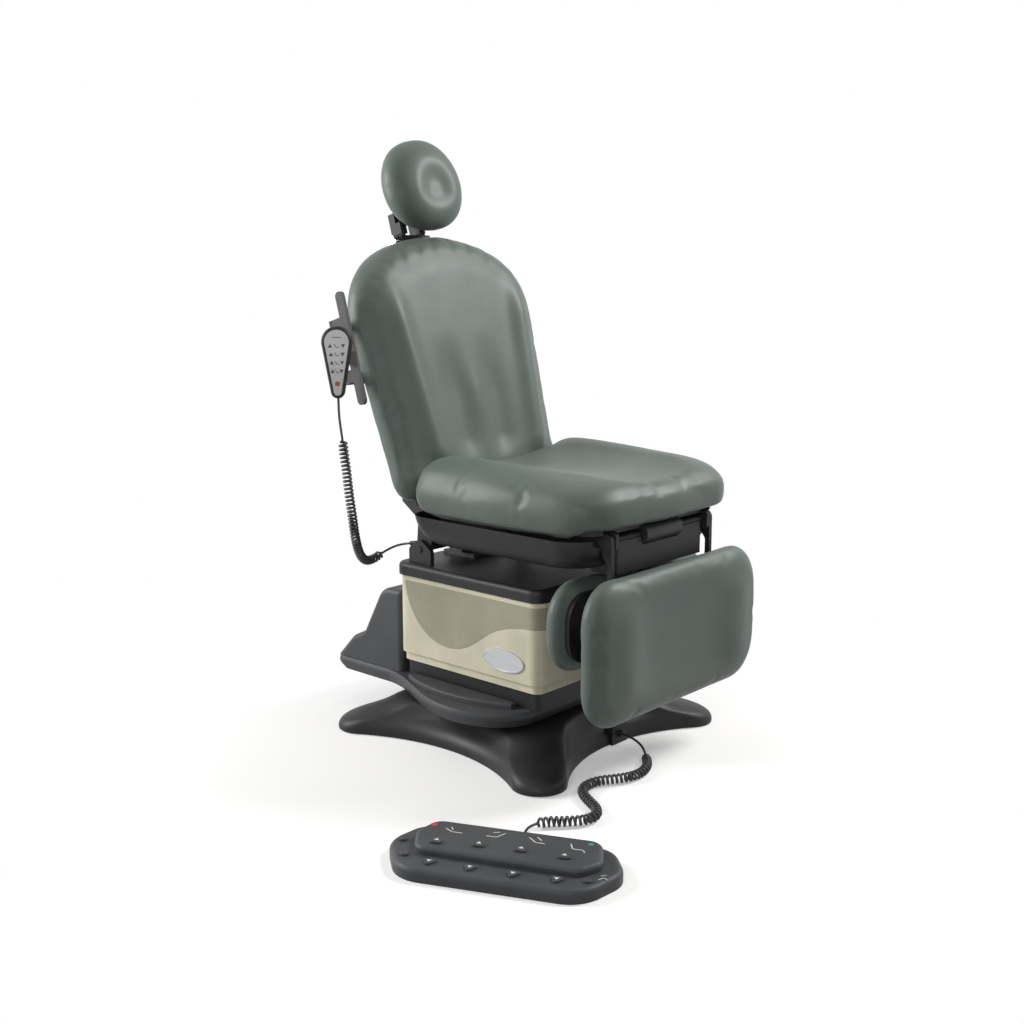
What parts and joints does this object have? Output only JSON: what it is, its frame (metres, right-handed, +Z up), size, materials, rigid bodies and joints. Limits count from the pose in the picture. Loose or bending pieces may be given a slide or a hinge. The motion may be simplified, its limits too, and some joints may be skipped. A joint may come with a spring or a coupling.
{
  "type": "procedure chair",
  "caption": "Powered procedure chair on a lobed base: turning deck, telescoping lift column, tilting padded seat, reclining back, headrest, leg rest, hand and foot controls.",
  "frame": {"origin": "on the floor at the axis of the turntable", "axes": "+Z up, front towards -Y, the sitter's right towards -X"},
  "size_m": [1.1929, 1.2597, 1.5024],
  "materials": {
    "upholstery": "smooth coated vinyl, sage grey-green, satin",
    "base_black": "fine textured black moulding",
    "deck_grey": "fine textured dark grey moulding",
    "shroud_cream": "satin cream moulding",
    "shroud_tan": "satin tan moulding",
    "badge_silver": "blank satin oval plate",
    "frame_black": "black powder coat on steel",
    "drive_grey": "dark cast housing",
    "bright_steel": "ground steel",
    "rail_grey": "grey coated bar",
    "keypad_grey": "light grey membrane with plain marks",
    "cord_black": "black curly cord jacket"
  },
  "bodies": {
    "base": {"base_plate": "frame_black", "base_cover": "base_black", "slew_ring_outer": "bright_steel", "foot_cord_socket": "base_black", "foot_control_shell": "deck_grey", "foot_cord": "cord_black"},
    "turntable": {"deck_frame": "frame_black", "deck_cover": "deck_grey", "motor_cover": "deck_grey", "control_box": "drive_grey", "power_inlet": "base_black", "fixed_shroud": "base_black", "column_outer_tube": "frame_black", "lift_actuator_body": "drive_grey"},
    "pedal_right": {"brake_pedal_right": "deck_grey"},
    "pedal_left": {"brake_pedal_left": "deck_grey"},
    "lift_middle": {"middle_shroud": "shroud_cream", "column_mid_tube": "frame_black", "lift_actuator_sleeve": "bright_steel"},
    "lift_head": {"upper_shroud": "shroud_cream", "shroud_panel": "shroud_tan", "badge_plate": "badge_silver", "top_cap": "base_black", "column_inner_tube": "frame_black", "lift_actuator_rod": "bright_steel", "tilt_bracket": "frame_black", "tilt_drive": "drive_grey"},
    "seat": {"seat_frame": "frame_black", "seat_pan": "base_black", "front_cover": "base_black", "seat_cushion": "upholstery", "back_drive": "drive_grey", "leg_drive": "drive_grey", "hand_cord_socket": "base_black", "hand_cord": "cord_black"},
    "back": {"back_frame": "frame_black", "back_shell": "base_black", "back_cushion": "upholstery", "accessory_rail": "rail_grey", "hand_control_body": "base_black", "hand_control_face": "keypad_grey"},
    "headrest_post": {"headrest_post": "frame_black"},
    "headrest_knob": {"headrest_knob": "bright_steel"},
    "headrest": {"headrest_shell": "base_black", "headrest_cushion": "upholstery"},
    "leg_rest": {"leg_frame": "frame_black", "leg_cushion": "upholstery"},
    "footrest": {"footrest_plate": "base_black", "footrest_cushion": "upholstery"},
    "raise_button_1": {"raise_button_1": "deck_grey"},
    "raise_button_2": {"raise_button_2": "deck_grey"},
    "raise_button_3": {"raise_button_3": "deck_grey"},
    "raise_button_4": {"raise_button_4": "deck_grey"},
    "lower_button_1": {"lower_button_1": "deck_grey"},
    "lower_button_2": {"lower_button_2": "deck_grey"},
    "lower_button_3": {"lower_button_3": "deck_grey"},
    "lower_button_4": {"lower_button_4": "deck_grey"},
    "round_button_1": {"round_button_1": "deck_grey"},
    "round_button_2": {"round_button_2": "deck_grey"},
    "round_button_3": {"round_button_3": "deck_grey"}
  },
  "joints": [
    {"name": "turn", "type": "hinge", "parent": "base", "child": "turntable", "pos_m": [0, 0, 0.09], "axis": [0, 0, 1], "range_deg": [-170, 170]},
    {"name": "pedal_right_press", "type": "hinge", "parent": "turntable", "child": "pedal_right", "pos_m": [-0.217, 0.0275, 0.126], "axis": [0, -1, 0], "range_deg": [0, 6], "stiffness_Nm_per_rad": 20, "springref_deg": -2.86},
    {"name": "pedal_left_press", "type": "hinge", "parent": "turntable", "child": "pedal_left", "pos_m": [0.217, 0.0275, 0.126], "axis": [0, 1, 0], "range_deg": [0, 6], "stiffness_Nm_per_rad": 20, "springref_deg": -2.86},
    {"name": "lift", "type": "slide", "parent": "turntable", "child": "lift_head", "axis": [0, 0, 1], "range_m": [0, 0.32]},
    {"name": "lift_stage", "type": "slide", "parent": "turntable", "child": "lift_middle", "axis": [0, 0, 1], "range_m": [0, 0.16]},
    {"name": "seat_tilt", "type": "hinge", "parent": "lift_head", "child": "seat", "pos_m": [0, 0.186, 0.473], "axis": [-1, 0, 0], "range_deg": [0, 20]},
    {"name": "back_recline", "type": "hinge", "parent": "seat", "child": "back", "pos_m": [0, 0.24, 0.6], "axis": [-1, 0, 0], "range_deg": [0, 75]},
    {"name": "headrest_height", "type": "slide", "parent": "back", "child": "headrest_post", "axis": [0, 0.284, 0.9588], "range_m": [0, 0.1]},
    {"name": "headrest_tilt", "type": "hinge", "parent": "headrest_post", "child": "headrest", "pos_m": [0, 0.44129, 1.30068], "axis": [1, 0, 0], "range_deg": [-14, 4]},
    {"name": "knob_turn", "type": "hinge", "parent": "back", "child": "headrest_knob", "pos_m": [-0.06, 0.4098, 1.24013], "axis": [1, 0, 0], "range_deg": [-180, 180]},
    {"name": "leg_raise", "type": "hinge", "parent": "seat", "child": "leg_rest", "pos_m": [0, -0.405, 0.575], "axis": [-1, 0, 0], "range_deg": [0, 90]},
    {"name": "footrest_fold", "type": "hinge", "parent": "leg_rest", "child": "footrest", "pos_m": [0, -0.406, 0.196], "axis": [-1, 0, 0], "range_deg": [0, 180]},
    {"name": "raise_button_1_press", "type": "slide", "parent": "base", "child": "raise_button_1", "axis": [0, 0, -1], "range_m": [0, 0.0025], "stiffness_N_per_m": 700, "springref_m": -0.0008},
    {"name": "raise_button_2_press", "type": "slide", "parent": "base", "child": "raise_button_2", "axis": [0, 0, -1], "range_m": [0, 0.0025], "stiffness_N_per_m": 700, "springref_m": -0.0008},
    {"name": "raise_button_3_press", "type": "slide", "parent": "base", "child": "raise_button_3", "axis": [0, 0, -1], "range_m": [0, 0.0025], "stiffness_N_per_m": 700, "springref_m": -0.0008},
    {"name": "raise_button_4_press", "type": "slide", "parent": "base", "child": "raise_button_4", "axis": [0, 0, -1], "range_m": [0, 0.0025], "stiffness_N_per_m": 700, "springref_m": -0.0008},
    {"name": "lower_button_1_press", "type": "slide", "parent": "base", "child": "lower_button_1", "axis": [0, 0, -1], "range_m": [0, 0.0025], "stiffness_N_per_m": 700, "springref_m": -0.0008},
    {"name": "lower_button_2_press", "type": "slide", "parent": "base", "child": "lower_button_2", "axis": [0, 0, -1], "range_m": [0, 0.0025], "stiffness_N_per_m": 700, "springref_m": -0.0008},
    {"name": "lower_button_3_press", "type": "slide", "parent": "base", "child": "lower_button_3", "axis": [0, 0, -1], "range_m": [0, 0.0025], "stiffness_N_per_m": 700, "springref_m": -0.0008},
    {"name": "lower_button_4_press", "type": "slide", "parent": "base", "child": "lower_button_4", "axis": [0, 0, -1], "range_m": [0, 0.0025], "stiffness_N_per_m": 700, "springref_m": -0.0008},
    {"name": "round_button_1_press", "type": "slide", "parent": "base", "child": "round_button_1", "axis": [0, 0, -1], "range_m": [0, 0.0025], "stiffness_N_per_m": 700, "springref_m": -0.0008},
    {"name": "round_button_2_press", "type": "slide", "parent": "base", "child": "round_button_2", "axis": [0, 0, -1], "range_m": [0, 0.0025], "stiffness_N_per_m": 700, "springref_m": -0.0008},
    {"name": "round_button_3_press", "type": "slide", "parent": "base", "child": "round_button_3", "axis": [0, 0, -1], "range_m": [0, 0.0025], "stiffness_N_per_m": 700, "springref_m": -0.0008}
  ],
  "couplings": [
    {"joint": "lift_stage", "follows": "lift", "ratio": 0.5},
    {"joint": "footrest_fold", "follows": "leg_raise", "ratio": 2}
  ]
}
